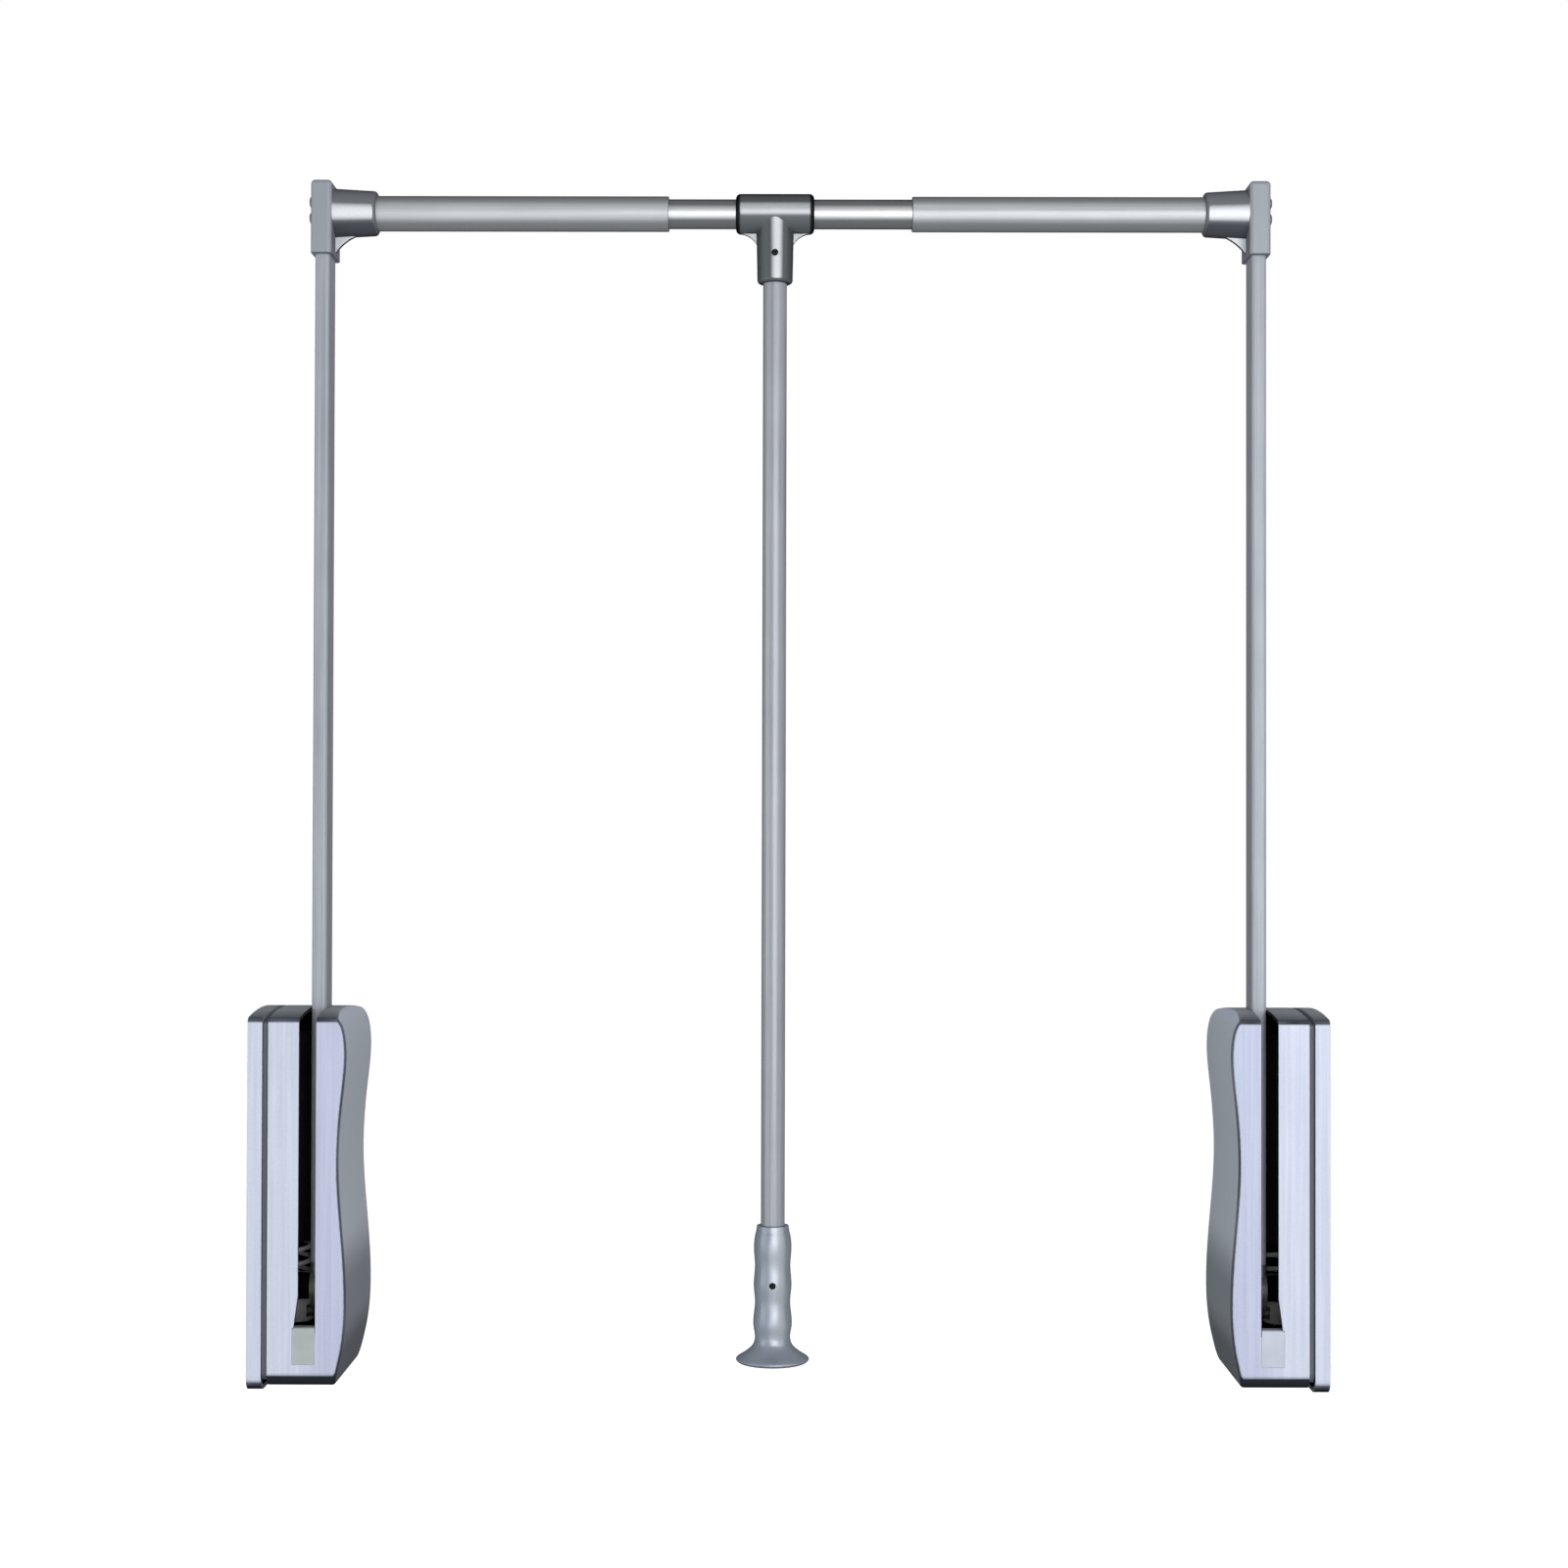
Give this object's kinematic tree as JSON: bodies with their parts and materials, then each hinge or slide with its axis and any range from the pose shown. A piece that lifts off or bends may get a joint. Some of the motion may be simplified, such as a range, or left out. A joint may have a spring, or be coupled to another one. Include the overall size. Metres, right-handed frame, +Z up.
{
  "type": "pull-down closet rod",
  "caption": "Wall-to-wall wardrobe lift: a telescopic hanging rail on two sprung arms that swing down out of side housings, lowered with a hanging pull handle.",
  "frame": {"origin": "midway between the two wall faces, on the arm plane, at the lowest point of the wall plates", "axes": "+X from the left wall plate to the right one, +Y to the back, +Z up"},
  "size_m": [0.75, 0.106, 0.8505],
  "materials": {
    "housing_silver": "silver lacquered moulding, satin",
    "fitting_silver": "glossy metallic silver moulding",
    "tube_silver": "satin silver steel tube",
    "tube_bright": "bright plated steel tube",
    "zinc_steel": "zinc plated steel",
    "spring_steel": "oiled spring wire",
    "black_nylon": "black moulded nylon",
    "dark_nylon": "dark grey moulded nylon",
    "pale_nylon": "pale translucent nylon"
  },
  "bodies": {
    "left_unit": {"left_wall_plate": "housing_silver", "left_housing_cover": "housing_silver", "left_stop_pad": "pale_nylon", "left_cover_screws": "zinc_steel", "left_pivot_axle": "zinc_steel", "left_axle_clip": "zinc_steel", "left_spring_sleeve": "black_nylon", "left_damper_body": "black_nylon", "left_lift_spring": "spring_steel"},
    "left_arm": {"left_arm_lever": "zinc_steel", "left_axle_bushes": "black_nylon", "left_crank_pin": "zinc_steel", "left_arm_tube": "tube_silver", "left_corner_connector": "fitting_silver", "left_connector_screws": "zinc_steel", "left_outer_tube": "tube_silver", "left_slide_bush": "black_nylon"},
    "left_carriage": {"left_spring_carriage": "dark_nylon", "left_damper_rod": "zinc_steel"},
    "right_unit": {"right_wall_plate": "housing_silver", "right_housing_cover": "housing_silver", "right_stop_pad": "pale_nylon", "right_cover_screws": "zinc_steel", "right_pivot_axle": "zinc_steel", "right_axle_clip": "zinc_steel", "right_spring_sleeve": "black_nylon", "right_damper_body": "black_nylon", "right_lift_spring": "spring_steel"},
    "right_arm": {"right_arm_lever": "zinc_steel", "right_axle_bushes": "black_nylon", "right_crank_pin": "zinc_steel", "right_arm_tube": "tube_silver", "right_corner_connector": "fitting_silver", "right_connector_screws": "zinc_steel", "right_outer_tube": "tube_silver", "right_slide_bush": "black_nylon"},
    "right_carriage": {"right_spring_carriage": "dark_nylon", "right_damper_rod": "zinc_steel"},
    "center_rod": {"inner_tube": "tube_bright"},
    "pull_handle": {"tee_connector": "fitting_silver", "tee_screw": "zinc_steel", "pull_rod": "tube_silver", "handle_grip": "fitting_silver", "grip_screw": "zinc_steel"}
  },
  "joints": [
    {"name": "width_adjust", "type": "slide", "parent": "left_unit", "child": "right_unit", "axis": [1, 0, 0], "range_m": [-0.094, 0.08]},
    {"name": "arm_swing", "type": "hinge", "parent": "left_unit", "child": "left_arm", "pos_m": [-0.3332, 0, 0.0636], "axis": [1, 0, 0], "range_deg": [0, 97], "stiffness_Nm_per_rad": 20, "springref_deg": -17.19, "deforming": ["left_lift_spring"]},
    {"name": "right_arm_swing", "type": "hinge", "parent": "right_unit", "child": "right_arm", "pos_m": [0.3332, 0, 0.0636], "axis": [1, 0, 0], "range_deg": [0, 97], "deforming": ["right_lift_spring"]},
    {"name": "left_carriage_slide", "type": "slide", "parent": "left_unit", "child": "left_carriage", "axis": [0, 0, 1], "range_m": [0, 0.0422]},
    {"name": "right_carriage_slide", "type": "slide", "parent": "right_unit", "child": "right_carriage", "axis": [0, 0, 1], "range_m": [0, 0.0422]},
    {"name": "rail_center_slide", "type": "slide", "parent": "left_arm", "child": "center_rod", "axis": [1, 0, 0], "range_m": [-0.047, 0.04]},
    {"name": "handle_swivel", "type": "hinge", "parent": "center_rod", "child": "pull_handle", "pos_m": [-0.011, 0, 0.83], "axis": [1, 0, 0], "continuous": true}
  ],
  "couplings": [
    {"joint": "right_arm_swing", "follows": "arm_swing", "ratio": 1},
    {"joint": "left_carriage_slide", "follows": "arm_swing", "m_per_rad": 0.024774},
    {"joint": "right_carriage_slide", "follows": "arm_swing", "m_per_rad": 0.024774},
    {"joint": "rail_center_slide", "follows": "width_adjust", "ratio": 0.5}
  ]
}
